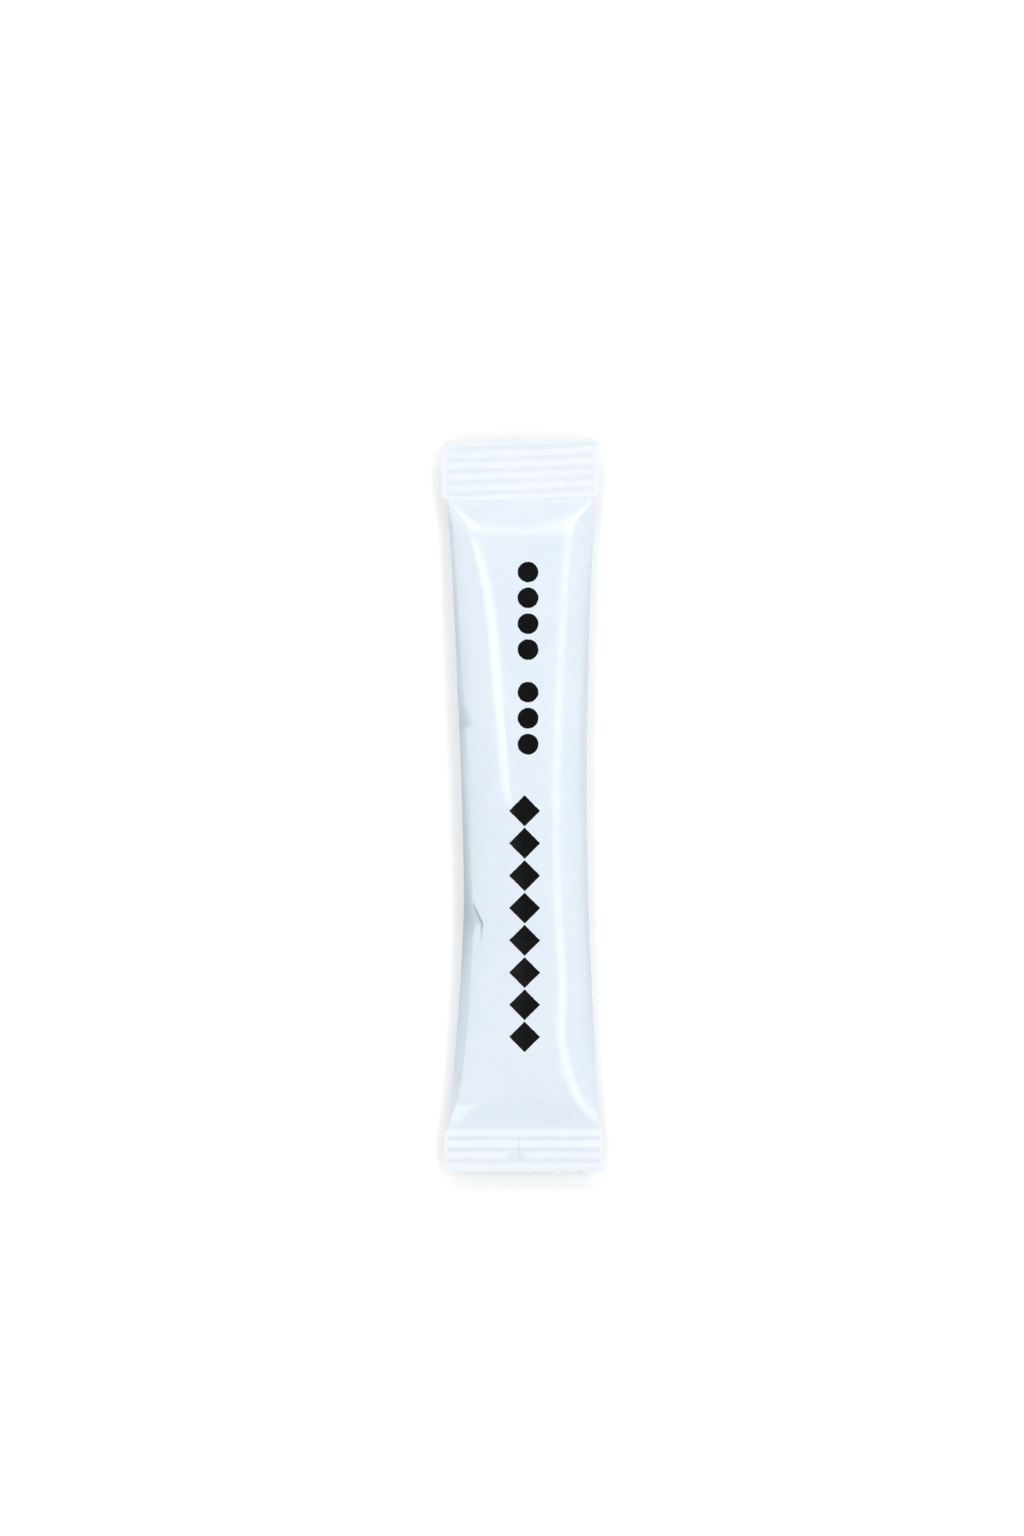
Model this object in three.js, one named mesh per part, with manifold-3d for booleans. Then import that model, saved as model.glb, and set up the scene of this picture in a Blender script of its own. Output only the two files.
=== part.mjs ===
// A stick sachet of sugar: a tube of glossy white film, filled, crimped flat at both ends and lying
// on its back seam. Millimetres. +Y runs along the tube, +X across it and +Z up. The origin is on the
// surface that the sachet lies on, under the middle of its outline.
import * as THREE from "three";
import { LoftGeometry } from "three/addons/geometries/LoftGeometry.js";
import { mergeVertices } from "three/addons/utils/BufferGeometryUtils.js";
import Module from "manifold-3d";

// The two crimped ends. y is the line where the filled tube meets the crimp, out is the way from
// there to the cut edge, left and right are the crimp's side edges, and z is its middle height.
// The tube leaves the crimp as a flat facet, whose top bows along Y by bow round bowY, then rises
// more slowly to its crown over its reach.
const UPPER = {
  y: 41.4, out: 1, cut: 49.8, left: -10.95, right: 10.48, z: 3.7,
  grooves: 5, firstGroove: 1.1, pitch: 1.51, grooveMargin: 0.95,
  facet: 3.65, facetTop: 5.8, facetFoot: 0.1, facetBlend: 0.6, reach: 46, fullness: 2.6, lift: 14,
  bowY: 37.6, bow: -0.5, bowReach: 3.4, bowHalfWidth: 7,
};
const LOWER = {
  y: -43.9, out: -1, cut: -49.8, left: -10.55, right: 10.93, z: 3.3,
  grooves: 3, firstGroove: 1.4, pitch: 1.55, grooveMargin: 0.5,
  facet: 2.6, facetTop: 4.5, facetFoot: 0.5, facetBlend: 0.45, reach: 44, fullness: 1.75, lift: 12,
  bowY: -41.3, bow: 0.75, bowReach: 2.4, bowHalfWidth: 8,
};
const CRIMP = { thickness: 0.25, stepIn: 0.9 }; // stepIn: length of the corner from crimp to tube
const GROOVE = { depth: 0.05, floor: 0.16, halfWidth: 0.46 }; // floor: half its flat bottom's width
const SKEW = { rise: 0.8, from: -11, span: 21.5, power: 1.5, level: 0.4 }; // upper crimp bends up

// The filled tube.
const CROWN = 8.4; // greatest height over the surface
const WIDEST_Z = 3.0; // height at which the tube is widest
const LEFT_EDGE = { waistY: -12.5, waist: -7.9, upper: -10.05, lower: -10.0, power: 1.45 };
const RIGHT_EDGE = { waistY: 3, waist: 8.83, upper: 9.92, lower: 10.6, power: 1.85 };
const UNDERSIDE_INSET = 2.5; // from a side edge to the flattened underside
const RIDGE_SAG = 0.2; // the long ridges lie this much below the crown
// Where the two long ridges of the upper face run, as [y, x].
const LEFT_RIDGE = [
  [-43.9, -9.6], [-43.4, -8.6], [-42.6, -7.4], [-40.9, -5.6], [-35, -3], [-24, -1], [-8, -1.1],
  [2.4, -2.2], [12.6, -3], [21, -3.65], [27.8, -4.4], [32.6, -5.4], [38.2, -6.8], [41.2, -9.5],
];
const RIGHT_RIDGE = [
  [-43.9, 9.1], [-42.6, 8.2], [-40.8, 7.4], [-38.8, 6.85], [-35.5, 6.3], [-30, 5.65], [-25, 5.85],
  [-19, 5.5], [-7, 5], [4, 4.95], [14, 5.2], [27.8, 5.8], [37.6, 6.6], [41.2, 9.6],
];
// Left of the left ridge a panel slopes down to a crease, with a steep wall from there to the side
// edge. The tilts are in degrees; the wall's width is given as [y, width].
const LEFT_PANEL = { tilt: 19, flatTilt: 8, flatFrom: -12, flatBy: -38 };
const LEFT_WALL = [
  [-43.9, 0.3], [-37, 1.2], [-27, 1.45], [-20, 1.4], [-13, 1.15], [4, 1.05], [16, 0.6], [34, 0.4],
];
const RIGHT_SHOULDER = { inset: 0.9, tilt: 27 }; // the panel right of the right ridge
// Small dents in the left side, where the crease jumps inwards by depth.
const BUCKLES = [
  { y: -16, depth: 0.5, above: 2.6, below: 2.2 },
  { y: 10.8, depth: 0.6, above: 2.8, below: 0.4 },
];

// The back seam: a fin of two film layers, folded flat under the tube.
const FIN = { left: -0.5, right: 4.5, thickness: 0.2 };

// Knife teeth of the cut edges, from the first tooth's middle. upper and lower are half the teeth's
// height, slant is how far the upper cut drops at its left, and spacing is between the cut's points.
const TOOTH = {
  first: -9.73, pitch: 2.07, upper: 0.24, lower: 0.14, slant: 0.45, cornerRadius: 0.6, spacing: 0.25,
};

const POINTS_PER_CORNER = 4;
const BODY_STEP = 2; // spacing of the loft's stations along the filled tube

const clamp01 = (t) => Math.min(1, Math.max(0, t));
const mix = (a, b, t) => a + (b - a) * t;
const slopeOf = (degrees) => Math.tan((degrees * Math.PI) / 180);
const softMin = (a, b, k) => Math.min(a, b) - Math.max(k - Math.abs(a - b), 0) ** 2 / (4 * k);

// 0 up to one value, 1 from the other on, with a smooth step between them.
function smooth(from, to, value) {
  const t = clamp01((value - from) / (to - from));
  return t * t * (3 - 2 * t);
}

// Value at y of the smooth curve through [y, value] points, which never overshoots them.
function through(points, y) {
  const last = points.length - 2;
  const after = points.findIndex(([at]) => at > y);
  const i = after < 0 ? last : Math.max(0, after - 1);
  const slope = (k) => (points[k + 1][1] - points[k][1]) / (points[k + 1][0] - points[k][0]);
  const tangent = (k) => {
    if (k === 0) return slope(0);
    if (k > last) return slope(last);
    const [a, b] = [slope(k - 1), slope(k)];
    return a * b > 0 ? (2 * a * b) / (a + b) : 0;
  };
  const step = points[i + 1][0] - points[i][0];
  const t = clamp01((y - points[i][0]) / step);
  const bend = t * (1 - t) * step * ((1 - t) * tangent(i) - t * tangent(i + 1));
  return mix(points[i][1], points[i + 1][1], smooth(0, 1, t)) + bend;
}

// Distance from an end's crimp into the filled tube, negative on the crimp.
const inwards = (end, y) => (end.y - y) * end.out;
const nearEnd = (y) => (y > 0 ? UPPER : LOWER);

// 0 on the filled tube, 1 on the crimp.
const crimped = (y) => smooth(0, CRIMP.stepIn, -inwards(nearEnd(y), y));

// Side edge of the filled tube: narrowest at its waist, flaring to both crimps.
function flare(edge, y) {
  const isUpper = y > edge.waistY;
  const end = isUpper ? UPPER : LOWER;
  const t = Math.min(1, (y - edge.waistY) / (end.y - edge.waistY));
  return mix(edge.waist, isUpper ? edge.upper : edge.lower, t ** edge.power);
}
const leftEdge = (y) => mix(flare(LEFT_EDGE, y), nearEnd(y).left, crimped(y));
const rightEdge = (y) => mix(flare(RIGHT_EDGE, y), nearEnd(y).right, crimped(y));

// Height of the upper face along its middle.
function crown(y) {
  const heights = [UPPER, LOWER].map((end) => {
    const s = Math.max(0, inwards(end, y));
    const foot = end.facetFoot;
    const climb = (Math.hypot(s / end.facet, foot) - foot) / (Math.hypot(1, foot) - foot);
    const facet = mix(end.z + CRIMP.thickness / 2, end.facetTop, climb);
    const before = Math.max(0, 1 - (s - end.facet) / end.reach);
    const body = mix(CROWN, end.facetTop, before ** end.fullness);
    return softMin(facet, body, end.facetBlend);
  });
  return Math.min(...heights);
}

// Height of the fin's lower face: on the surface along most of the tube, lifting to both crimps.
function underside(y) {
  const lifts = [UPPER, LOWER].map((end) => {
    const before = clamp01(1 - inwards(end, y) / end.lift);
    return (end.z - CRIMP.thickness / 2 - FIN.thickness) * before ** 1.8;
  });
  return Math.max(...lifts);
}

// Inward shift of the left crease where the film has buckled.
function buckle(y) {
  return BUCKLES.reduce((shift, dent) => {
    const reach = y > dent.y ? dent.above : dent.below;
    return shift + dent.depth * clamp01(1 - Math.abs(y - dent.y) / reach);
  }, 0);
}

// How far a rounded corner's control point stands out past the arc that it makes, when the corners
// beside it are inset from the arc by a and b.
function overhang(rounding, a, b) {
  const p = (1 - rounding) * (a + b);
  const q = 2 - rounding;
  return (Math.sqrt(p * p + 4 * q * rounding * a * b) - p) / (2 * q);
}

// Corners of the cross-section at y as [x, z, rounding], from the left edge over the top to the right
// edge and back underneath. A rounding of 0.5 joins one corner's arc to the next; 0 is a sharp corner.
function corners(y) {
  const end = nearEnd(y);
  const s = Math.max(0, inwards(end, y));
  const full = smooth(0, 10, s);
  const left = leftEdge(y);
  const right = rightEdge(y);
  const top = crown(y);
  const under = underside(y) + FIN.thickness;
  const widest = mix(end.z, WIDEST_Z, full);
  const lowest = mix(widest, top, 0.3); // the panels' lower edges stay above this height
  const ridgeZ = top - RIDGE_SAG * smooth(0, 4, s);
  const ridgeLeft = through(LEFT_RIDGE, y);
  const ridgeRight = through(RIGHT_RIDGE, y);
  const leftRounding =
    mix(0.26, 0.5, smooth(2, -10, y)) + 0.14 * smooth(33, 38, y) - 0.2 * smooth(-38, -41, y);
  const rightRounding = mix(0.38, 0.46, smooth(20, 4, y));
  const wall = mix(0.1, through(LEFT_WALL, y), smooth(0, 4, s)) + buckle(y);
  const flatter = smooth(LEFT_PANEL.flatFrom, LEFT_PANEL.flatBy, y);
  const tilt = mix(LEFT_PANEL.tilt, LEFT_PANEL.flatTilt, flatter);
  const creaseZ = Math.max(lowest, ridgeZ - (ridgeLeft - left - wall) * slopeOf(tilt));
  const creaseRounding = mix(0.1, 0.4, smooth(8, 22, y));
  const shoulder = mix(0.1, RIGHT_SHOULDER.inset, full);
  const shoulderDrop = (right - shoulder - ridgeRight) * slopeOf(RIGHT_SHOULDER.tilt);
  const shoulderZ = Math.max(lowest, ridgeZ - shoulderDrop);
  const inset = mix(0.4, UNDERSIDE_INSET, full);
  return [
    [left - overhang(0.45, wall, inset), widest, 0.45],
    [left + wall, creaseZ, creaseRounding],
    [ridgeLeft, ridgeZ, leftRounding],
    [(ridgeLeft + ridgeRight) / 2, top, 0.5],
    [ridgeRight, ridgeZ, rightRounding],
    [right - shoulder, shoulderZ, 0.45],
    [right + overhang(0.45, shoulder, inset), widest, 0.45],
    [right - inset, under, 0.4],
    [FIN.right, under, 0],
    [FIN.right, under - FIN.thickness, 0],
    [FIN.left, under - FIN.thickness, 0],
    [FIN.left, under, 0],
    [left + inset, under, 0.4],
  ];
}

// Points round a polygon whose corners are rounded off, the same number at every station.
function roundedOutline(polygon) {
  return polygon.flatMap(([x, z, rounding], i) => {
    if (rounding === 0) return [[x, z]];
    const [beforeX, beforeZ] = polygon.at(i - 1);
    const [afterX, afterZ] = polygon[(i + 1) % polygon.length];
    return Array.from({ length: POINTS_PER_CORNER }, (_, k) => {
      const t = (k + 0.5) / POINTS_PER_CORNER;
      const before = rounding * (1 - t) ** 2;
      const after = rounding * t ** 2;
      return [
        x + before * (beforeX - x) + after * (afterX - x),
        z + before * (beforeZ - z) + after * (afterZ - z),
      ];
    });
  });
}

// Depth of the crimp's grooves at y: narrow flat-bottomed valleys between wider flats.
function grooveDepth(y) {
  const end = nearEnd(y);
  const beyond = -inwards(end, y) - end.firstGroove;
  const nearest = Math.min(end.grooves - 1, Math.max(0, Math.round(beyond / end.pitch)));
  const offset = Math.abs(beyond - nearest * end.pitch);
  return GROOVE.depth * clamp01((GROOVE.halfWidth - offset) / (GROOVE.halfWidth - GROOVE.floor));
}

// Shift along Y: the upper crimp's lines bend up towards the right, and both facets' tops bow.
function skew(x, y) {
  const end = nearEnd(y);
  const bend = clamp01((x - SKEW.from) / SKEW.span) ** SKEW.power - SKEW.level;
  const across = clamp01(1 - (x / end.bowHalfWidth) ** 2);
  const along = 1 - smooth(0, end.bowReach, Math.abs(y - end.bowY));
  return SKEW.rise * bend * smooth(34, UPPER.y, y) + end.bow * across * along;
}

// One ring of the loft. The grooves stop short of the crimp's side edges.
function section(y) {
  const margin = nearEnd(y).grooveMargin;
  const depth = grooveDepth(y);
  return roundedOutline(corners(y)).map(([x, z]) => {
    const fromSide = Math.min(x - leftEdge(y), rightEdge(y) - x);
    const groove = depth * smooth(0.6 * margin, margin, fromSide);
    return new THREE.Vector3(x, y + skew(x, y), z - groove);
  });
}

// Stations of the loft along Y: wide apart on the body, closer on the end facets and round the
// dents, and four to each groove.
function stations() {
  const list = BUCKLES.flatMap((dent) => [dent.y, dent.y + dent.above, dent.y - dent.below]);
  for (let y = LOWER.y + 6; y <= UPPER.y - 5; y += BODY_STEP) list.push(y);
  for (const end of [UPPER, LOWER]) {
    for (let s = 0; s < 5; s += 0.7) list.push(end.y - end.out * s);
    for (const part of [0.35, 0.65]) list.push(end.y + end.out * CRIMP.stepIn * part);
    for (let g = 0; g < end.grooves; g++) {
      const centre = end.y + end.out * (end.firstGroove + g * end.pitch);
      for (const off of [GROOVE.halfWidth, GROOVE.floor]) list.push(centre - off, centre + off);
    }
    list.push(end.cut + end.out);
  }
  return list.sort((a, b) => a - b);
}

const wasm = await Module();
wasm.setup();

function solid(geometry) {
  const merged = mergeVertices(
    new THREE.BufferGeometry()
      .setAttribute("position", geometry.getAttribute("position"))
      .setIndex(geometry.getIndex()),
  );
  return new wasm.Manifold(
    new wasm.Mesh({
      numProp: 3,
      vertProperties: merged.attributes.position.array,
      triVerts: new Uint32Array(merged.index.array),
    }),
  );
}

// Shift along Y of a cut edge at x: its teeth, which grow uneven along it, and its rounded corners.
function cutShift(end, x) {
  const fromSide = Math.min(x - end.left, end.right - x);
  const corner = TOOTH.cornerRadius * clamp01(1 - fromSide / TOOTH.cornerRadius) ** 2;
  const phase = (2 * Math.PI * (x - TOOTH.first)) / TOOTH.pitch - 0.65 * Math.cos(0.165 * x);
  const wave = Math.cos(phase) * (1 + 0.2 * Math.sin(1.3 * x));
  if (end === UPPER) return TOOTH.upper * wave - TOOTH.slant * smooth(1, -11, x) - corner;
  return -TOOTH.lower * wave * mix(0.4, 1.2, smooth(-3, 3, x)) + corner;
}

// The block that a toothed knife takes off beyond one cut edge.
function offcut(end) {
  const wide = 13;
  const beyond = end.cut + 6 * end.out;
  const edge = new THREE.Shape();
  edge.moveTo(-wide, beyond);
  for (let x = -wide; x <= wide; x += TOOTH.spacing) edge.lineTo(x, end.cut + cutShift(end, x));
  edge.lineTo(wide, beyond);
  const block = new THREE.ExtrudeGeometry(edge, { depth: 2 * CROWN, bevelEnabled: false });
  return block.translate(0, 0, -CROWN / 2);
}

function sachet() {
  const loft = new LoftGeometry(stations().map(section), { capStart: true, capEnd: true });
  const cut = solid(loft).subtract(solid(offcut(UPPER))).subtract(solid(offcut(LOWER)));
  const { vertProperties, triVerts } = cut.getMesh();
  const geometry = new THREE.BufferGeometry();
  geometry.setAttribute("position", new THREE.BufferAttribute(vertProperties, 3));
  geometry.setIndex(new THREE.BufferAttribute(triVerts, 1));
  geometry.computeBoundingBox();
  const centre = geometry.boundingBox.getCenter(new THREE.Vector3());
  geometry.translate(-centre.x, -centre.y, -geometry.boundingBox.min.z);
  geometry.computeVertexNormals();
  const film = new THREE.MeshStandardMaterial({ color: 0xe6eff8, roughness: 0.3, metalness: 0 });
  const mesh = new THREE.Mesh(geometry, film);
  mesh.name = "sachet";
  return mesh;
}

const part = new THREE.Group();
part.add(sachet());

export default part;
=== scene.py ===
"""A stick sachet of sugar in glossy white film, lying on a pale floor and seen from straight above.

The film is lofted along Y from rounded cross-sections, in millimetres, and moved onto the CAD
sachet's box. Everything in the Blender scene is in metres.
"""
import math
from types import SimpleNamespace

import bpy
import numpy as np
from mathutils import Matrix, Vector


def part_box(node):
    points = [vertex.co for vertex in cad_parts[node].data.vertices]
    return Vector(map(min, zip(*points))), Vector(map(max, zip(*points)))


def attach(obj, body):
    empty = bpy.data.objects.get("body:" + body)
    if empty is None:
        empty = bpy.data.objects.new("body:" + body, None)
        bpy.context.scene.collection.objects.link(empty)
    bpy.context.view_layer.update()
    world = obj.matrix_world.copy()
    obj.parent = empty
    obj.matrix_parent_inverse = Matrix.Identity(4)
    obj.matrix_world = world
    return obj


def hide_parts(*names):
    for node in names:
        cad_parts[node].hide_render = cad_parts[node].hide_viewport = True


MM = 0.001

# The two crimped ends. y is the line where the filled tube meets the crimp, out is the way from
# there to the cut edge, left and right are the crimp's side edges, and z is its middle height.
# groove_white says how white the crimp's grooves are, and white its flats, as (distance beyond y,
# whiteness). The tube leaves the crimp as a flat facet, whose top bows along Y by bow round bow_y,
# then rises more slowly to its crown over its reach.
UPPER = SimpleNamespace(
    y=41.4, out=1, cut=49.8, left=-10.95, right=10.48, z=3.7,
    grooves=5, first_groove=1.1, pitch=1.51, groove_margin=0.95,
    white=[(0.4, 0.66), (2, 0.6), (6.5, 0.58), (7.3, 0.46)], groove_white=0.23,
    facet=3.65, facet_top=5.8, facet_foot=0.1, facet_blend=0.6, reach=46.0, fullness=2.6, lift=14.0,
    bow_y=37.6, bow=-0.5, bow_reach=3.4, bow_half_width=7.0,
)
LOWER = SimpleNamespace(
    y=-43.9, out=-1, cut=-49.8, left=-10.55, right=10.93, z=3.3,
    grooves=3, first_groove=1.4, pitch=1.55, groove_margin=0.5,
    white=[(0.6, 0.86), (2.2, 0.75), (3.7, 0.61), (5.3, 0.52)], groove_white=0.0,
    facet=2.6, facet_top=4.5, facet_foot=0.5, facet_blend=0.45, reach=44.0, fullness=1.75, lift=12.0,
    bow_y=-41.3, bow=0.75, bow_reach=2.4, bow_half_width=8.0,
)
# step_in is the length of the corner from crimp to tube, and floor half of a groove's flat bottom.
CRIMP = SimpleNamespace(thickness=0.25, step_in=0.9)
GROOVE = SimpleNamespace(depth=0.05, floor=0.16, half_width=0.46)
# The upper crimp's lines bend up to the right by rise over span.
SKEW = SimpleNamespace(rise=0.8, start=-11.0, span=21.5, power=1.5, level=0.4)

# The filled tube: its greatest height, and the height at which it is widest.
CROWN = 8.4
WIDEST_Z = 3.0
LEFT_EDGE = SimpleNamespace(waist_y=-12.5, waist=-7.9, upper=-10.05, lower=-10.0, power=1.45)
RIGHT_EDGE = SimpleNamespace(waist_y=3.0, waist=8.83, upper=9.92, lower=10.6, power=1.85)
# From a side edge to the flattened underside, and how far the long ridges lie below the crown.
UNDERSIDE_INSET = 2.5
RIDGE_SAG = 0.2
# Where the two long ridges of the upper face run, as (y, x).
LEFT_RIDGE = [
    (-43.9, -9.6), (-43.4, -8.6), (-42.6, -7.4), (-40.9, -5.6), (-35, -3), (-24, -1), (-8, -1.1),
    (2.4, -2.2), (12.6, -3), (21, -3.65), (27.8, -4.4), (32.6, -5.4), (38.2, -6.8), (41.2, -9.5),
]
RIGHT_RIDGE = [
    (-43.9, 9.1), (-42.6, 8.2), (-40.8, 7.4), (-38.8, 6.85), (-35.5, 6.3), (-30, 5.65), (-25, 5.85),
    (-19, 5.5), (-7, 5), (4, 4.95), (14, 5.2), (27.8, 5.8), (37.6, 6.6), (41.2, 9.6),
]
# Left of the left ridge a panel slopes down to a crease, with a steep wall from there to the side
# edge. The tilts are in degrees. The wall's width is given as (y, width).
LEFT_PANEL = SimpleNamespace(tilt=19.0, flat_tilt=8.0, flat_from=-12.0, flat_by=-38.0)
LEFT_WALL = [
    (-43.9, 0.3), (-37, 1.2), (-27, 1.45), (-20, 1.4), (-13, 1.15), (4, 1.05), (16, 0.6), (34, 0.4),
]
# The panel right of the right ridge.
RIGHT_SHOULDER = SimpleNamespace(inset=0.9, tilt=27.0)
# How strong the painted shade on the left wall is, as (y, strength): along the left edge, and
# along the crease that ends it. A fainter painted shade reaches further in along both edges.
LEFT_WALL_PAINTED_SHADE = [
    (-43.9, 0.08), (-34, 0.26), (-26, 0.44), (-19, 0.68), (-14, 0.86), (-4, 0.84), (6, 0.72),
    (24, 0.7), (34, 0.4),
]
CREASE_PAINTED_SHADE = [
    (-43.9, 0.08), (-34, 0.24), (-26, 0.22), (-20, 0.26), (-16, 0.42), (-13, 0.4), (-8, 0.2), (4, 0.08),
    (14, 0.02),
]
LEFT_SHADE = SimpleNamespace(width=4.2, strength=0.2)
RIGHT_SHADE = SimpleNamespace(width=2.4, strength=0.35)
# Where that shade starts and where it is at its full strength, as distances from the crimps.
SHADE_RISE = (-4, 28)
# Painted light: how much lighter the corner between the left ridge and the upper crimp is made, carried
# with the crimps' whiteness.
PAINTED_CORNER_LIGHT = 0.34

# Dents where the film has buckled: the crease jumps inwards by depth.
BUCKLES = [
    SimpleNamespace(y=-16.0, depth=0.5, above=2.6, below=2.2),
    SimpleNamespace(y=10.8, depth=0.6, above=2.8, below=0.4),
]
# A sharp pinch beside the lower buckle: the film left of this line lies lower, behind a step. The
# strength is given as (distance along the line, strength). shadow is the half-width of the painted
# shadow line along the step, and wide_shadow is the fainter painted shade left of it, which sets in
# between the two ys.
PINCH = SimpleNamespace(
    line=[(-6.95, -12.7), (-5.42, -15.9), (-5.55, -18.9)], depth=0.3, step=0.1, shadow=0.2,
    strength=[(0, 0), (1.2, 0.8), (3.5, 1), (4.7, 0.5), (6.5, 0)],
    wide_shadow=0.36, wide_rise=(-17, -15.5),
)

# The back seam: a fin folded flat against the underside, with low ribs running along it.
FIN = SimpleNamespace(left=-0.5, right=4.5, thickness=0.2, columns=26, droop=0.1, rib=0.03, rib_pitch=1.0)
# Where the fin's folded edge shows through the lower crimp: a dent, which is less white and has a little
# painted shade, and a patch that isn't flattened.
IMPRINT = SimpleNamespace(
    x=-0.45, depth=0.06, half_width=0.28, dulling=0.35, grey=0.15,
    patch_x=-0.7, patch_y=-47.6, patch_width=1.35, patch_height=1.1, patch_dulling=0.8,
)
# Knife teeth of the cut edges, from the first tooth's middle. upper and lower are half the teeth's
# height, and slant is how far the upper cut drops at its left.
TOOTH = SimpleNamespace(pitch=2.07, first=-9.73, upper=0.24, lower=0.14, slant=0.45, corner_radius=0.6)

# The print: rows of plain marks in black ink along the upper face, from the first mark's middle.
PRINT = [
    SimpleNamespace(mark="diamond", x=0.34, y=-31.3, pitch=4.37, count=8, radius=2.1),
    SimpleNamespace(mark="disc", x=0.8, y=8.25, pitch=3.5, count=3, radius=1.4),
    SimpleNamespace(mark="disc", x=0.8, y=21.0, pitch=3.5, count=4, radius=1.4),
]
# Only film above this height is printed.
PRINT_ABOVE = 4.5

# The film's bluish white varies between two colours. The crimps' white, which also serves as painted
# light on the corner beside the upper crimp, and the painted shade have their own.
FILM_COLOURS = [(0.715, 0.817, 0.934, 1), (0.745, 0.842, 0.950, 1)]
FILM_ROUGHNESS = (0.12, 0.18)
PRESSED_AND_PAINTED_LIGHT_COLOUR = (0.84, 0.903, 0.958, 1)
PAINTED_SHADE_COLOUR = (0.3, 0.405, 0.49, 1)
INK_COLOUR = (0.003, 0.0035, 0.004, 1)

# The camera looks straight down. At the height plane_z the picture shows picture_height, in metres.
CAMERA = SimpleNamespace(
    x=-0.00135, y=0.0050, plane_z=0.0033, picture_height=0.2087, lens=85.0, sensor=36.0,
)
LAMP_DISTANCE = 1.6

# Columns of the mesh for each corner of the cross-section, from the left edge over the top. The first
# seven corners are the upper face's.
COLUMNS = [12, 36, 40, 40, 40, 22, 12, 40, 40]
UPPER_COLUMNS = sum(COLUMNS[:7])
# Steps along which a corner's two straights and its arc are measured before the columns are placed,
# and the length that one radian of turn counts for there.
STRAIGHT_STEPS = 8
ARC_STEPS = 32
TURN_WEIGHT = 1.2
# Rows of the mesh: from, to and spacing of each stretch along Y.
ROWS = [
    (LOWER.cut, LOWER.y - 1.0, 0.13), (LOWER.y - 1.0, LOWER.y + 7, 0.3), (LOWER.y + 7, -20, 0.8),
    (-20, -12, 0.14), (-12, 9, 0.8), (9, 14, 0.3), (14, UPPER.y - 6, 0.8),
    (UPPER.y - 6, UPPER.y, 0.3), (UPPER.y, UPPER.cut, 0.13),
]


# ---------------------------------------------------------------- shape

def mix(a, b, t):
    return a + (b - a) * t


def smooth(start, end, value):
    """0 up to start, 1 from end on, with a smooth step between them."""
    t = np.clip((value - start) / (end - start), 0, 1)
    return t * t * (3 - 2 * t)


def soft_min(a, b, k):
    """The smaller of a and b, with a rounded step between them where they differ by less than k."""
    return np.minimum(a, b) - np.maximum(k - np.abs(a - b), 0) ** 2 / (4 * k)


def through(points, y):
    """Value at y of the smooth curve through (y, value) points, which never overshoots them."""
    at, value = np.array(points, float).T
    slope = np.diff(value) / np.diff(at)
    product = slope[:-1] * slope[1:]
    total = slope[:-1] + slope[1:]
    inner = np.where(product > 0, 2 * product / np.where(product > 0, total, 1), 0)
    tangent = np.concatenate([slope[:1], inner, slope[-1:]])
    i = np.clip(np.searchsorted(at, y, side="right") - 1, 0, len(at) - 2)
    step = at[i + 1] - at[i]
    t = np.clip((y - at[i]) / step, 0, 1)
    bend = t * (1 - t) * step * ((1 - t) * tangent[i] - t * tangent[i + 1])
    return mix(value[i], value[i + 1], smooth(0, 1, t)) + bend


def inwards(end, y):
    """Distance from an end's crimp into the filled tube, negative on the crimp."""
    return (end.y - y) * end.out


def near(y, name):
    """A value of the end that is nearer to y."""
    return np.where(y > 0, getattr(UPPER, name), getattr(LOWER, name))


def inwards_near(y):
    """Distance from the nearer crimp into the filled tube, negative on the crimp."""
    return np.where(y > 0, inwards(UPPER, y), inwards(LOWER, y))


def crimped(y):
    """0 on the filled tube, 1 on the crimp."""
    return smooth(0, CRIMP.step_in, -inwards_near(y))


def flare(edge, y):
    """Side edge of the filled tube: narrowest at its waist, flaring to both crimps."""
    upper = y > edge.waist_y
    end_y = np.where(upper, UPPER.y, LOWER.y)
    t = np.clip((y - edge.waist_y) / (end_y - edge.waist_y), 0, 1)
    return mix(edge.waist, np.where(upper, edge.upper, edge.lower), t ** edge.power)


def left_edge(y):
    return mix(flare(LEFT_EDGE, y), near(y, "left"), crimped(y))


def right_edge(y):
    return mix(flare(RIGHT_EDGE, y), near(y, "right"), crimped(y))


def crown(y):
    """Height of the upper face along its middle: a flat facet at each end, then a slow rise."""
    heights = []
    for end in (UPPER, LOWER):
        s = np.maximum(0, inwards(end, y))
        foot = end.facet_foot
        climb = (np.hypot(s / end.facet, foot) - foot) / (math.hypot(1, foot) - foot)
        facet = mix(end.z + CRIMP.thickness / 2, end.facet_top, climb)
        before = np.clip(1 - (s - end.facet) / end.reach, 0, None)
        body = mix(CROWN, end.facet_top, before ** end.fullness)
        heights.append(soft_min(facet, body, end.facet_blend))
    return np.minimum(*heights)


def underside(y):
    """Height of the fin's lower face: on the floor along most of the tube."""
    lifts = []
    for end in (UPPER, LOWER):
        before = np.clip(1 - inwards(end, y) / end.lift, 0, 1)
        lifts.append((end.z - CRIMP.thickness / 2 - FIN.thickness) * before ** 1.8)
    return np.maximum(*lifts)


def buckle(y):
    """Inward shift of the left crease where the film has buckled."""
    shift = 0
    for dent in BUCKLES:
        reach = np.where(y > dent.y, dent.above, dent.below)
        shift = shift + dent.depth * np.clip(1 - np.abs(y - dent.y) / reach, 0, 1)
    return shift


def left_wall(y):
    """Width of the steep wall between the left edge and the crease."""
    s = np.maximum(0, inwards_near(y))
    return mix(0.1, through(LEFT_WALL, y), smooth(0, 4, s)) + buckle(y)


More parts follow.
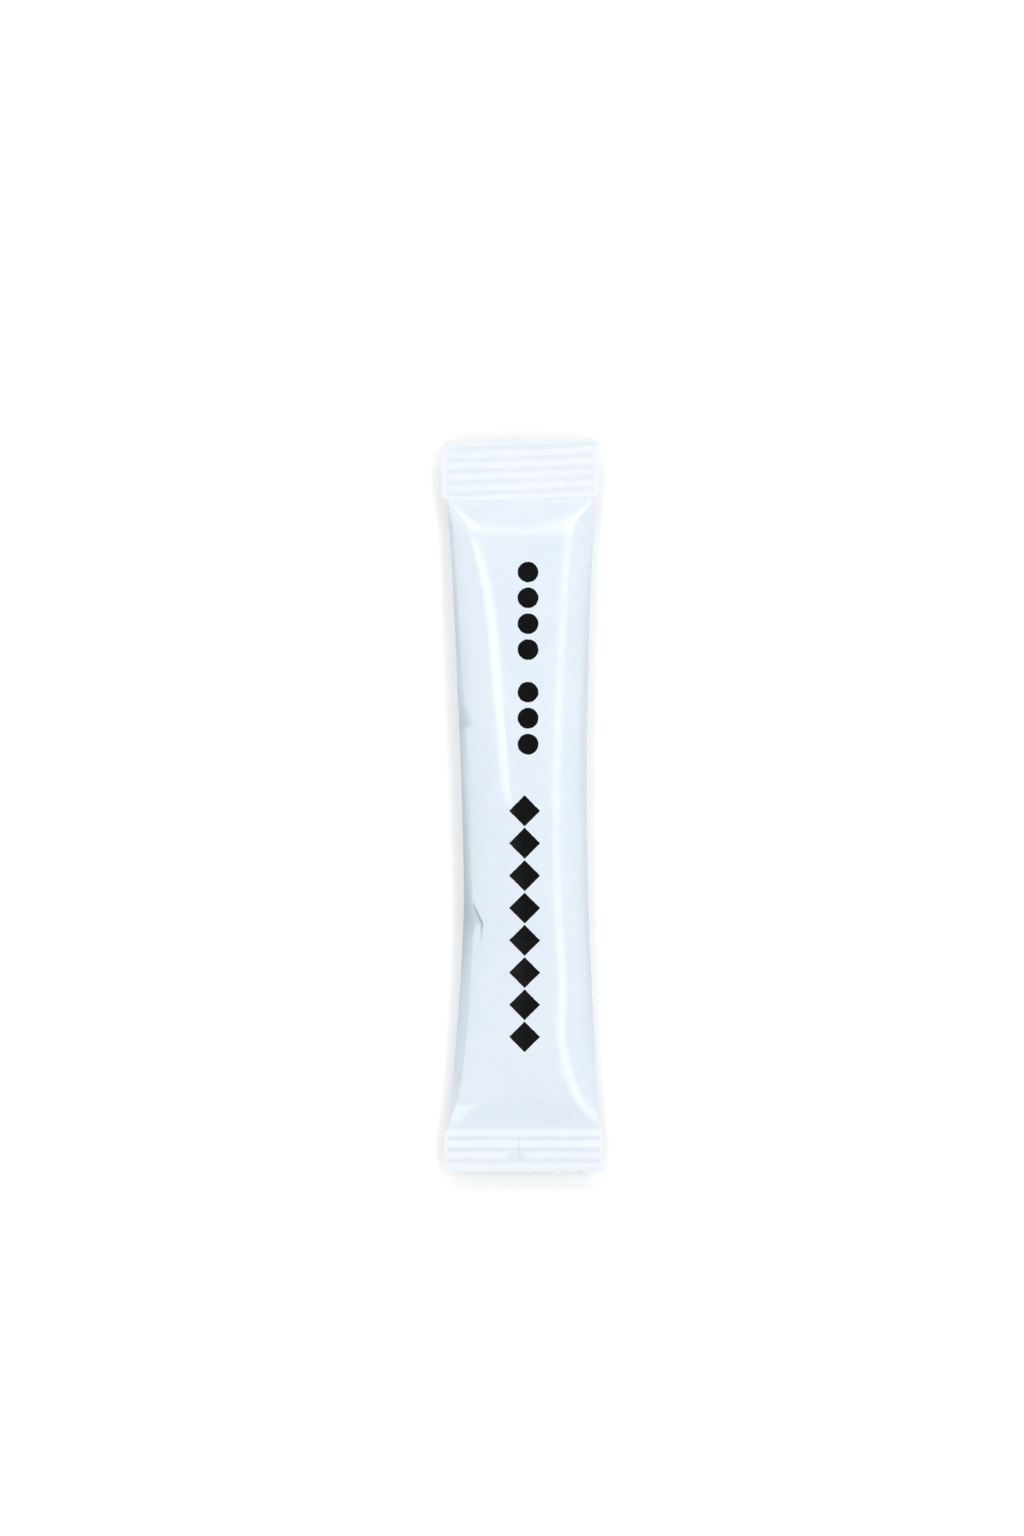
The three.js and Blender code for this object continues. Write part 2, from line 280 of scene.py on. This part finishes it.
def overhang(rounding, a, b):
    """How far a rounded corner's control point stands out past its arc, when the corners beside it
    are inset from the arc by a and b."""
    p = (1 - rounding) * (a + b)
    q = 2 - rounding
    return (np.sqrt(p * p + 4 * q * rounding * a * b) - p) / (2 * q)


def corners(y):
    """Corners of the cross-sections at stations y: arrays of x, z and rounding, a row a station."""
    s = np.maximum(0, inwards_near(y))
    full = smooth(0, 10, s)
    left, right = left_edge(y), right_edge(y)
    top = crown(y)
    under = underside(y) + FIN.thickness
    widest = mix(near(y, "z"), WIDEST_Z, full)
    ridge_z = top - RIDGE_SAG * smooth(0, 4, s)
    ridge_left, ridge_right = through(LEFT_RIDGE, y), through(RIGHT_RIDGE, y)
    flatter = smooth(LEFT_PANEL.flat_from, LEFT_PANEL.flat_by, y)
    tilt = np.radians(mix(LEFT_PANEL.tilt, LEFT_PANEL.flat_tilt, flatter))
    # The left ridge is sharp along the upper half, rounder along the lower half and at the upper end.
    left_rounding = mix(0.26, 0.5, smooth(2, -10, y))
    left_rounding += 0.14 * smooth(33, 38, y) - 0.2 * smooth(-38, -41, y)
    wall = left_wall(y)
    crease_z = ridge_z - (ridge_left - left - wall) * np.tan(tilt)
    crease_z = np.maximum(crease_z, mix(widest, top, 0.3))
    shoulder = mix(0.1, RIGHT_SHOULDER.inset, full)
    shoulder_z = ridge_z - (right - shoulder - ridge_right) * math.tan(math.radians(RIGHT_SHOULDER.tilt))
    shoulder_z = np.maximum(shoulder_z, mix(widest, top, 0.3))
    inset = mix(0.4, UNDERSIDE_INSET, full)
    rows = [
        (left - overhang(0.45, wall, inset), widest, 0.45),
        (left + wall, crease_z, mix(0.1, 0.4, smooth(8, 22, y))),
        (ridge_left, ridge_z, left_rounding),
        ((ridge_left + ridge_right) / 2, top, 0.5),
        (ridge_right, ridge_z, mix(0.38, 0.46, smooth(20, 4, y))),
        (right - shoulder, shoulder_z, 0.45),
        (right + overhang(0.45, shoulder, inset), widest, 0.45),
        (right - inset, under, 0.4),
        (left + inset, under, 0.4),
    ]
    return [np.stack([np.broadcast_to(row[k], y.shape) for row in rows], 1) for k in range(3)]


def rounded(x, z, rounding):
    """Points round polygons with rounded corners, closer together where the outline turns."""
    corner = np.stack([x, z], 2)
    before, after = np.roll(corner, 1, 1), np.roll(corner, -1, 1)
    r = rounding[..., None]
    arc_start, arc_end = corner + r * (before - corner), corner + r * (after - corner)
    straight = np.linspace(0, 1, STRAIGHT_STEPS + 1)[:, None, None, None]
    t = np.linspace(0, 1, ARC_STEPS + 1)[:, None, None, None]
    arc = (1 - t) ** 2 * arc_start + 2 * t * (1 - t) * corner + t ** 2 * arc_end
    path = np.concatenate([
        mix((before + corner) / 2, arc_start, straight[:-1]),
        arc,
        mix(arc_end, (corner + after) / 2, straight[1:]),
    ])
    length = np.linalg.norm(np.diff(path, axis=0), axis=3)
    heading = mix(corner - before, after - corner, t)
    cross = heading[:-1, ..., 0] * heading[1:, ..., 1] - heading[:-1, ..., 1] * heading[1:, ..., 0]
    dot = (heading[:-1] * heading[1:]).sum(3)
    turn = np.zeros_like(length)
    turn[STRAIGHT_STEPS:STRAIGHT_STEPS + ARC_STEPS] = np.abs(np.arctan2(cross, dot))
    weight = np.concatenate([np.zeros((1, *x.shape)), np.cumsum(length + TURN_WEIGHT * turn, axis=0)])
    out = []
    for i, count in enumerate(COLUMNS):
        at = (np.arange(count) + 0.5) / count
        out.append(np.stack([
            [np.interp(at * w[-1], w, p[:, axis]) for axis in (0, 1)]
            for w, p in zip(weight[:, :, i].T, path[:, :, i].transpose(1, 0, 2))
        ]))
    outline = np.concatenate(out, axis=2)
    return outline[:, 0], outline[:, 1]


def stations():
    """Stations of the loft along Y, closer together on the crimps, end facets and dents."""
    stretches = [np.arange(start, end - spacing / 2, spacing) for start, end, spacing in ROWS]
    return np.concatenate([*stretches, [UPPER.cut]])


def groove_depth(x, y):
    """0 on the crimp's flats, 1 at the bottom of the narrow grooves between them."""
    beyond = -inwards_near(y) - near(y, "first_groove")
    nearest = np.clip(np.round(beyond / near(y, "pitch")), 0, near(y, "grooves") - 1)
    offset = np.abs(beyond - nearest * near(y, "pitch"))
    from_side = np.minimum(x - near(y, "left"), near(y, "right") - x)
    inside = smooth(0.6, 1, from_side / near(y, "groove_margin"))
    return (1 - smooth(GROOVE.floor, GROOVE.half_width, offset)) * inside


def skew(x, y):
    """Shift along Y: the upper crimp's lines bend up to the right, and both facets' tops bow."""
    bend = np.clip((x - SKEW.start) / SKEW.span, 0, 1) ** SKEW.power - SKEW.level
    across = np.clip(1 - (x / near(y, "bow_half_width")) ** 2, 0, 1)
    along = 1 - smooth(0, near(y, "bow_reach"), np.abs(y - near(y, "bow_y")))
    return SKEW.rise * bend * smooth(34, UPPER.y, y) + near(y, "bow") * across * along


def cut_shift(x, y):
    """Shift along Y of the cut edges: wavy, rounded at the corners, the upper one slanted."""
    from_side = np.minimum(x - near(y, "left"), near(y, "right") - x)
    radius = TOOTH.corner_radius
    corner = radius * np.clip(1 - from_side / radius, 0, 1) ** 2
    # The teeth vary a little in spacing and height along the edge.
    phase = 2 * math.pi * (x - TOOTH.first) / TOOTH.pitch - 0.65 * np.cos(0.165 * x)
    wave = np.cos(phase) * (1 + 0.2 * np.sin(1.3 * x))
    upper = TOOTH.upper * wave - TOOTH.slant * smooth(1, -11, x) - corner
    lower = -TOOTH.lower * wave * mix(0.4, 1.2, smooth(-3, 3, x)) + corner
    return np.where(y > 0, upper, lower)


def pinch(x, y):
    """How far the film drops left of the pinch, and how dark the painted shadow along the step is at each
    point.
    """
    line = np.array(PINCH.line)
    lengths = np.linalg.norm(np.diff(line, axis=0), axis=1)
    strength_at, strength = np.array(PINCH.strength).T
    drop, shadow = np.zeros_like(x), np.zeros_like(x)
    nearest = np.full(x.shape, np.inf)
    run = 0.0
    for start, end, length in zip(line[:-1], line[1:], lengths):
        along = (end - start) / length
        t = np.clip((x - start[0]) * along[0] + (y - start[1]) * along[1], 0, length)
        dx, dy = x - start[0] - t * along[0], y - start[1] - t * along[1]
        away = np.hypot(dx, dy)
        to_left = np.where(dx * along[1] - dy * along[0] > 0, away, -away)
        swell = np.interp(run + t, strength_at, strength)
        side = smooth(-PINCH.step, PINCH.step, to_left)
        closer = away < nearest
        drop = np.where(closer, PINCH.depth * swell * side, drop)
        line_shadow = 1 - smooth(0.3, 1, away / PINCH.shadow)
        wide_shadow = PINCH.wide_shadow * side * smooth(*PINCH.wide_rise, y)
        shadow = np.where(closer, swell * np.maximum(line_shadow, wide_shadow), shadow)
        nearest = np.minimum(nearest, away)
        run += length
    return drop * smooth(0, 0.8, x - left_edge(y)), shadow * (nearest < 2)


def flat_white(y):
    """How white the crimps' flats are."""
    upper, lower = (np.interp(-inwards(end, y), *np.array(end.white).T) for end in (UPPER, LOWER))
    return np.where(y > 0, upper, lower)


def painted_corner_light(x, y):
    """Painted light: how much lighter the corner between the left ridge and the upper crimp is made."""
    beside_ridge = 1 - smooth(-0.5, 0.3, x - through(LEFT_RIDGE, y))
    return PAINTED_CORNER_LIGHT * beside_ridge * (1 - smooth(2, 5, inwards(UPPER, y)))


def wall_shade(x, y):
    """How strong the painted shade on the left wall is: it fades from the edge and ends sharply at
    the crease, or further in along the upper half."""
    reach = left_wall(y) * mix(1, 1.8, smooth(4, 14, y))
    inside = x - left_edge(y)
    fading = mix(through(LEFT_WALL_PAINTED_SHADE, y), through(CREASE_PAINTED_SHADE, y), np.clip(inside / reach, 0, 1))
    return fading * (1 - smooth(-0.14, 0.14, inside - reach)) * (1 - crimped(y))


def edge_shade(shade, inside, y):
    """The faint painted shade along a side edge, at a distance inside it."""
    fading = shade.strength * np.clip(1 - inside / shade.width, 0, 1) ** 2
    return fading * smooth(*SHADE_RISE, inwards_near(y))


def fin_imprint(x, y):
    """0 to 1: how strongly the fin's folded edge dents the lower crimp's upper face."""
    line = 1 - smooth(0, IMPRINT.half_width, np.abs(x - IMPRINT.x))
    return line * smooth(LOWER.y - 1.2, LOWER.y - 1.6, y) * smooth(LOWER.y - 4.9, LOWER.y - 4.5, y)


def dull_patch(x, y):
    """0 to 1: the patch of the lower crimp that the fin's edge keeps from being flattened."""
    across = (x - IMPRINT.patch_x) / IMPRINT.patch_width
    along = (y - IMPRINT.patch_y) / IMPRINT.patch_height
    return 1 - smooth(0.5, 1.2, np.hypot(across, along))


def moved(x, y):
    """y with the crimp's skew and the shape of the cut edges."""
    near_cut = smooth(near(y, "cut") - near(y, "out") * 1.1, near(y, "cut"), y)
    return y + mix(skew(x, y), cut_shift(x, y), near_cut)


def film_grid():
    """The film's points as rows of x, y and z, one row a station, starting at the left edge's
    widest point; the number of columns of its upper face; how white its crimps are, with painted
    light on the corner beside the upper crimp; and its painted shade."""
    y = stations()
    x, z = rounded(*corners(y))
    y = np.repeat(y[:, None], x.shape[1], 1)
    upper_face = np.arange(x.shape[1]) < UPPER_COLUMNS
    groove = groove_depth(x, y) * crimped(y)
    drop, shadow = pinch(x, y)
    imprint = fin_imprint(x, y)
    z = z - GROOVE.depth * groove
    z = z - np.where(upper_face, drop + IMPRINT.depth * imprint, 0)
    whiteness = mix(flat_white(y), near(y, "groove_white"), groove)
    dulled = np.maximum(IMPRINT.dulling * imprint, IMPRINT.patch_dulling * dull_patch(x, y))
    pressed_and_painted_light = whiteness * smooth(-0.1, 0.35, -inwards_near(y)) * (1 - dulled)
    # Painted light on the corner beside the upper crimp joins the crimps' whiteness.
    pressed_and_painted_light = np.maximum(pressed_and_painted_light, np.where(upper_face, painted_corner_light(x, y), 0))
    # Painted shade: the left wall, the painted shadow of the pinch, both side edges and the fin's dent.
    shade = np.maximum(wall_shade(x, y), shadow)
    shade = np.maximum(shade, edge_shade(LEFT_SHADE, x - left_edge(y), y))
    shade = np.maximum(shade, edge_shade(RIGHT_SHADE, right_edge(y) - x, y))
    painted_shade = np.where(upper_face, np.maximum(shade, IMPRINT.grey * imprint), 0)
    start = COLUMNS[0] // 2
    split = UPPER_COLUMNS - COLUMNS[6] // 2 - start
    grid = np.roll(np.stack([x, moved(x, y), z, pressed_and_painted_light, painted_shade], 2), -start, 1)
    return grid[..., :3], split, grid[..., 3], grid[..., 4]


def fin_grid():
    """The fin's points, as film_grid has the film's: it follows the film's underside."""
    stations_y = stations()
    outline_x, outline_z = rounded(*corners(stations_y))
    below = slice(UPPER_COLUMNS, None)
    across = np.linspace(FIN.left, FIN.right, FIN.columns)
    film_z = np.stack([
        np.interp(across, row_x[::-1], row_z[::-1])
        for row_x, row_z in zip(outline_x[:, below], outline_z[:, below])
    ])
    x, y = np.broadcast_to(across, film_z.shape), np.repeat(stations_y[:, None], FIN.columns, 1)
    film_z = film_z - GROOVE.depth * groove_depth(x, y) * crimped(y)
    top = film_z - FIN.droop * smooth(FIN.right - 2, FIN.right, x)
    rib = FIN.rib * (0.5 + 0.5 * np.cos(2 * math.pi * (x - FIN.left) / FIN.rib_pitch))
    from_middle = 2 * (x - FIN.left) / (FIN.right - FIN.left) - 1
    bottom = top - FIN.thickness * np.sqrt(np.clip(1 - from_middle ** 16, 0, 1))
    bottom = np.maximum(bottom + rib, 0)
    upper = np.stack([x, moved(x, y), top], 2)
    lower = np.stack([x, moved(x, y), bottom], 2)
    return np.concatenate([upper, lower[:, ::-1]], 1), FIN.columns - 1


# ---------------------------------------------------------------- meshes

def add_mesh(name, points, faces, flat_faces=()):
    """A mesh object of smooth faces, with flat_faces after them."""
    mesh = bpy.data.meshes.new(name)
    mesh.from_pydata(points.tolist(), [], [*faces, *flat_faces])
    smooth_face = np.arange(len(mesh.polygons)) < len(faces)
    mesh.polygons.foreach_set("use_smooth", smooth_face)
    piece = bpy.data.objects.new(name, mesh)
    bpy.context.scene.collection.objects.link(piece)
    return piece


def zipped(upper, lower, x):
    """Triangles between two chains of points that both run towards +X."""
    triangles = []
    i = j = 0
    while i < len(upper) - 1 or j < len(lower) - 1:
        if j == len(lower) - 1 or (i < len(upper) - 1 and x[upper[i + 1]] < x[lower[j + 1]]):
            triangles.append((upper[i], lower[j], upper[i + 1]))
            i += 1
        else:
            triangles.append((upper[i], lower[j], lower[j + 1]))
            j += 1
    return [t for t in triangles if len(set(t)) == 3]


def lay_out(piece, grid, split, caps):
    """The UV map: the upper face beside the lower one, with the cut edges above them."""
    face_width, face_height, upper_u, lower_u, low_v = 0.47, 0.94, 0.01, 0.51, 0.01
    cut_width, cut_u, upper_cut_v, lower_cut_v, cut_height = 0.97, 0.01, 0.99, 0.97, 0.004
    length = np.linalg.norm(np.diff(np.concatenate([grid, grid[:, :1]], 1), axis=1), axis=2)
    along = np.concatenate([np.zeros((len(grid), 1)), np.cumsum(length, axis=1)], 1)
    sides = np.stack([along[:, :-1], along[:, 1:]], 2)
    turned = along[:, split]
    across = np.where(
        np.arange(along.shape[1] - 1)[None, :, None] < split,
        sides / turned.max() * face_width + upper_u,
        (sides - turned[:, None, None]) / (along[:, -1] - turned).max() * face_width + lower_u,
    )
    y = grid[..., 1]
    up = low_v + face_height * (y - y.min()) / (y.max() - y.min())
    up = np.stack([up, np.roll(up, -1, 1)], 2)
    corner_u = np.stack([across[:-1, :, 0], across[1:, :, 0], across[1:, :, 1], across[:-1, :, 1]], 2)
    corner_v = np.stack([up[:-1, :, 0], up[1:, :, 0], up[1:, :, 1], up[:-1, :, 1]], 2)
    points = grid.reshape(-1, 3)
    cap = points[np.array(caps).ravel()]
    cap_u = cut_u + cut_width * (cap[:, 0] - points[:, 0].min()) / np.ptp(points[:, 0])
    cap_v = np.where(cap[:, 1] > 0, upper_cut_v, lower_cut_v)
    cap_v = cap_v + cut_height * (cap[:, 2] - (UPPER.z + LOWER.z) / 2) / CRIMP.thickness
    uvs = np.concatenate([
        np.stack([corner_u, corner_v], 3).reshape(-1, 2), np.stack([cap_u, cap_v], 1),
    ])
    layer = piece.data.uv_layers.new(name="OFBake")
    layer.data.foreach_set("uv", uvs.ravel())


def lofted(name, grid, split, middle):
    """A closed piece from rows of points, with its cut ends closed, centred over middle."""
    rows, columns, _ = grid.shape
    points = grid.reshape(-1, 3)
    index = np.arange(rows * columns).reshape(rows, columns)
    right = np.roll(index, -1, 1)
    quads = np.stack([index[:-1], index[1:], right[1:], right[:-1]], 2).reshape(-1, 4)
    caps = []
    for row, flip in ((index[0], False), (index[-1], True)):
        upper_chain = row[:split + 1].tolist()
        lower_chain = [row[0].item(), *row[split:][::-1].tolist()]
        for triangle in zipped(upper_chain, lower_chain, points[:, 0]):
            caps.append(triangle[::-1] if flip else triangle)
    piece = add_mesh(name, (points + [*middle, 0]) * MM, quads.tolist(), caps)
    lay_out(piece, grid, split, caps)
    return piece


# ---------------------------------------------------------------- materials

class Graph:
    """Shorthand for a material's nodes. Values are numbers or the sockets of earlier nodes."""

    def __init__(self, name):
        self.material = bpy.data.materials.new(name)
        self.material.use_nodes = True
        self.nodes = self.material.node_tree.nodes
        self.links = self.material.node_tree.links
        self.shader = self.nodes["Principled BSDF"]

    def put(self, socket, value):
        if isinstance(value, bpy.types.NodeSocket):
            self.links.new(value, socket)
        else:
            socket.default_value = value

    def place(self):
        """The point being shaded, in the object's own metres."""
        return self.nodes.new("ShaderNodeTexCoord").outputs["Object"]

    def maths(self, operation, *values):
        node = self.nodes.new("ShaderNodeMath")
        node.operation = operation
        for socket, value in zip(node.inputs, values):
            self.put(socket, value)
        return node.outputs[0]

    def step(self, value, start, end, low=0.0, high=1.0):
        """low up to start, high from end on, and a smooth step between."""
        node = self.nodes.new("ShaderNodeMapRange")
        node.interpolation_type = "SMOOTHSTEP"
        for socket, number in zip(node.inputs, (value, start, end, low, high)):
            self.put(socket, number)
        return node.outputs[0]

    def blend(self, factor, first, second):
        """Mix of two colours."""
        node = self.nodes.new("ShaderNodeMix")
        node.data_type = "RGBA"
        self.put(node.inputs["Factor"], factor)
        self.put(node.inputs["A"], first)
        self.put(node.inputs["B"], second)
        return next(o for o in node.outputs if o.type == "RGBA")

    def noise(self, place, size, detail=2.0):
        """Noise from 0 to 1 whose lumps are about size across."""
        node = self.nodes.new("ShaderNodeTexNoise")
        self.put(node.inputs["Vector"], place)
        node.inputs["Scale"].default_value = 1 / size
        node.inputs["Detail"].default_value = detail
        return node.outputs[0]

    def bump(self, height, distance, before=None):
        """Surface relief: height runs from 0 to 1 over distance, in metres."""
        node = self.nodes.new("ShaderNodeBump")
        node.inputs["Strength"].default_value = 1.0
        node.inputs["Distance"].default_value = distance
        self.put(node.inputs["Height"], height)
        if before is not None:
            self.put(node.inputs["Normal"], before)
        return node.outputs[0]


def ink(graph, place, middle):
    """1 where the print is, from places in millimetres in the film's own frame."""
    split = graph.nodes.new("ShaderNodeSeparateXYZ")
    graph.put(split.inputs[0], place)
    x, y, z = split.outputs
    ragged = graph.maths("MULTIPLY", graph.maths("SUBTRACT", graph.noise(place, 0.35), 0.5), 0.16)
    inked = 0.0
    for row in PRINT:
        beyond = graph.maths("DIVIDE", graph.maths("SUBTRACT", y, row.y + middle[1]), row.pitch)
        nearest = graph.maths("MAXIMUM", graph.maths("ROUND", beyond), 0)
        nearest = graph.maths("MINIMUM", nearest, row.count - 1)
        along = graph.maths("MULTIPLY", graph.maths("SUBTRACT", beyond, nearest), row.pitch)
        across = graph.maths("SUBTRACT", x, row.x + middle[0])
        if row.mark == "diamond":
            away = graph.maths("ADD", graph.maths("ABSOLUTE", along), graph.maths("ABSOLUTE", across))
        else:
            squares = [graph.maths("MULTIPLY", value, value) for value in (along, across)]
            away = graph.maths("SQRT", graph.maths("ADD", *squares))
        away = graph.maths("ADD", away, ragged)
        mark = graph.step(away, row.radius - 0.04, row.radius + 0.04, 1, 0)
        inked = graph.maths("MAXIMUM", inked, mark)
    return graph.maths("MULTIPLY", inked, graph.step(z, PRINT_ABOVE, PRINT_ABOVE + 0.1))


def film_material(name, middle, printed):
    """Glossy bluish white film, whiter and duller where a crimp flattens it, with painted light on the
    corner beside the upper crimp and painted shade along the edges, the crease, the pinch and the fin's
    dent.
    """
    graph = Graph(name)
    scale = graph.nodes.new("ShaderNodeVectorMath")
    scale.operation = "SCALE"
    graph.put(scale.inputs[0], graph.place())
    scale.inputs["Scale"].default_value = 1 / MM
    place = scale.outputs[0]

    cloudy = graph.noise(place, 9.0)
    mottled = graph.noise(place, 1.6, 3.0)
    tone = graph.maths("ADD", graph.maths("MULTIPLY", cloudy, 0.6), graph.maths("MULTIPLY", mottled, 0.4))
    colour = graph.blend(graph.step(tone, 0.35, 0.65), *FILM_COLOURS)
    roughness = graph.step(mottled, 0.3, 0.7, *FILM_ROUGHNESS)

    # The crimps' whiteness, with painted light on the corner beside the upper crimp.
    pressed_and_painted_light = graph.nodes.new("ShaderNodeAttribute")
    pressed_and_painted_light.attribute_name = "pressed_and_painted_light"
    flat = pressed_and_painted_light.outputs["Fac"]
    speckle = graph.noise(place, 0.25)
    whiteness = graph.maths("MULTIPLY", flat, graph.step(speckle, 0.2, 0.8, 0.94, 1.0))
    colour = graph.blend(whiteness, colour, PRESSED_AND_PAINTED_LIGHT_COLOUR)
    roughness = graph.maths("ADD", roughness, graph.step(flat, 0.3, 0.45, 0.0, 0.18))

    # Painted shade along the left wall, the pinch, the side edges and the fin's dent.
    painted_shade = graph.nodes.new("ShaderNodeAttribute")
    painted_shade.attribute_name = "painted_shade"
    colour = graph.blend(painted_shade.outputs["Fac"], colour, PAINTED_SHADE_COLOUR)

    if printed:
        inked = ink(graph, place, middle)
        colour = graph.blend(inked, colour, INK_COLOUR)

    ripples = graph.bump(graph.noise(place, 2.6, 1.0), 0.000012)
    relief = graph.bump(speckle, 0.0000005, before=ripples)
    graph.put(graph.shader.inputs["Base Color"], colour)
    graph.put(graph.shader.inputs["Roughness"], roughness)
    graph.put(graph.shader.inputs["Normal"], relief)
    graph.shader.inputs["IOR"].default_value = 1.5
    return graph.material


# ---------------------------------------------------------------- studio

def lamp(name, towards_x, towards_y, size, radiance, mirrored=True, colour=(1, 1, 1)):
    """A rectangular lamp aimed at the sachet, tipped from straight above by degrees towards +X and
    +Y. Unless it is mirrored, glossy surfaces don't show it."""
    light = bpy.data.lights.new(name, "AREA")
    light.shape = "RECTANGLE"
    light.size, light.size_y = size
    light.energy = radiance * math.pi * size[0] * size[1]
    light.color = colour
    holder = bpy.data.objects.new(name, light)
    holder.rotation_euler = (-math.radians(towards_y), math.radians(towards_x), 0)
    holder.location = holder.rotation_euler.to_matrix() @ Vector((0, 0, LAMP_DISTANCE))
    holder.visible_glossy = mirrored
    holder.visible_camera = False
    bpy.context.scene.collection.objects.link(holder)


def floor():
    """A plain white floor, which glows further out so that it stays white up to the horizon."""
    half = 3.0
    glow_from, glow_by, least_glow, most_glow = 0.3, 1.6, 0.05, 0.8
    corners = [(-half, -half, 0), (half, -half, 0), (half, half, 0), (-half, half, 0)]
    mesh = bpy.data.meshes.new("floor")
    mesh.from_pydata(corners, [], [(0, 1, 2, 3)])
    graph = Graph("floor")
    away = graph.nodes.new("ShaderNodeVectorMath")
    away.operation = "LENGTH"
    graph.put(away.inputs[0], graph.place())
    glow = graph.step(away.outputs["Value"], glow_from, glow_by, least_glow, most_glow)
    graph.put(graph.shader.inputs["Base Color"], (0.96, 0.97, 0.98, 1))
    graph.put(graph.shader.inputs["Roughness"], 0.9)
    graph.put(graph.shader.inputs["Specular IOR Level"], 0.0)
    graph.put(graph.shader.inputs["Emission Color"], (1, 1, 1, 1))
    graph.put(graph.shader.inputs["Emission Strength"], glow)
    mesh.materials.append(graph.material)
    piece = bpy.data.objects.new("floor", mesh)
    bpy.context.scene.collection.objects.link(piece)


def studio():
    """Grey surroundings that are white at the horizon, the floor and the lamps."""
    scene = bpy.context.scene
    scene.view_settings.view_transform = "Standard"
    world = bpy.data.worlds.new("studio")
    world.use_nodes = True
    nodes, links = world.node_tree.nodes, world.node_tree.links
    coordinate = nodes.new("ShaderNodeTexCoord")
    split = nodes.new("ShaderNodeSeparateXYZ")
    ramp = nodes.new("ShaderNodeValToRGB")
    links.new(coordinate.outputs["Generated"], split.inputs[0])
    links.new(split.outputs["Z"], ramp.inputs[0])
    links.new(ramp.outputs[0], nodes["Background"].inputs["Color"])
    stops = [(0.0, 1.0), (0.15, 0.8), (0.27, 0.29), (0.6, 0.26), (0.87, 0.19), (0.97, 0.1)]
    while len(ramp.color_ramp.elements) < len(stops):
        ramp.color_ramp.elements.new(0.5)
    for element, (at, level) in zip(ramp.color_ramp.elements, stops):
        element.position = at
        element.color = (level, level, level, 1)
    scene.world = world

    floor()

    warm, cool = (1.0, 0.93, 0.86), (0.954, 0.98, 1.02)
    lamp("key", 2, -2, (1.4, 1.4), 0.88, mirrored=False, colour=cool)
    lamp("fill", 8, -40, (2.0, 0.8), 0.74, mirrored=False)
    lamp("far", 0, 50, (2.0, 0.8), 0.73, mirrored=False, colour=warm)
    lamp("strip_left", -23, 7.8, (0.5, 0.58), 3.6, colour=warm)
    lamp("strip_right", 26, 0, (0.5, 2.3), 2.1, colour=warm)
    lamp("strip_far", 0, 41, (2.0, 0.36), 1.75, colour=warm)
    lamp("far_left", -20, 42, (0.4, 0.4), 2.6, colour=warm)
    lamp("far_right", 16, 38, (0.4, 0.4), 2.2, colour=warm)
    lamp("near_right", 25, -19, (0.4, 0.5), 0.85, colour=warm)
    lamp("near_left", -21, -27, (0.4, 0.4), 3.8, colour=warm)


def camera():
    data = bpy.data.cameras.new("camera")
    data.lens = CAMERA.lens
    data.sensor_width = CAMERA.sensor
    eye = bpy.data.objects.new("camera", data)
    distance = CAMERA.picture_height / CAMERA.sensor * CAMERA.lens
    eye.location = (CAMERA.x, CAMERA.y, distance + CAMERA.plane_z)
    bpy.context.scene.collection.objects.link(eye)
    bpy.context.scene.camera = eye


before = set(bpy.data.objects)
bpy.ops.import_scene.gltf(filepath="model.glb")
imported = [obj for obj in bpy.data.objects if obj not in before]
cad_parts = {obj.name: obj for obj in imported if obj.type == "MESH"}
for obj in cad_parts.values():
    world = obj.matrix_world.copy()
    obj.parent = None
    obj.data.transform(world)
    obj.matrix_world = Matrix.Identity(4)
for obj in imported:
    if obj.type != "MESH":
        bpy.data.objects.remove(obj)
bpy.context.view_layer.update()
camera()
studio()
low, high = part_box("sachet")
grid, split, pressed_and_painted_light, painted_shade = film_grid()
middle = (np.array(low[:2]) + np.array(high[:2])) / 2 / MM
middle -= (grid.reshape(-1, 3).min(0) + grid.reshape(-1, 3).max(0))[:2] / 2
sachet = lofted("film", grid, split, middle)
for name, values in (("pressed_and_painted_light", pressed_and_painted_light), ("painted_shade", painted_shade)):
    attribute = sachet.data.attributes.new(name, "FLOAT", "POINT")
    attribute.data.foreach_set("value", values.ravel())
sachet.data.materials.append(film_material("film", middle, printed=True))
back_seam = lofted("back_seam", *fin_grid(), middle)
back_seam.data.materials.append(film_material("back_seam", middle, printed=False))
for piece in (sachet, back_seam):
    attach(piece, "root")
    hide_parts("sachet")
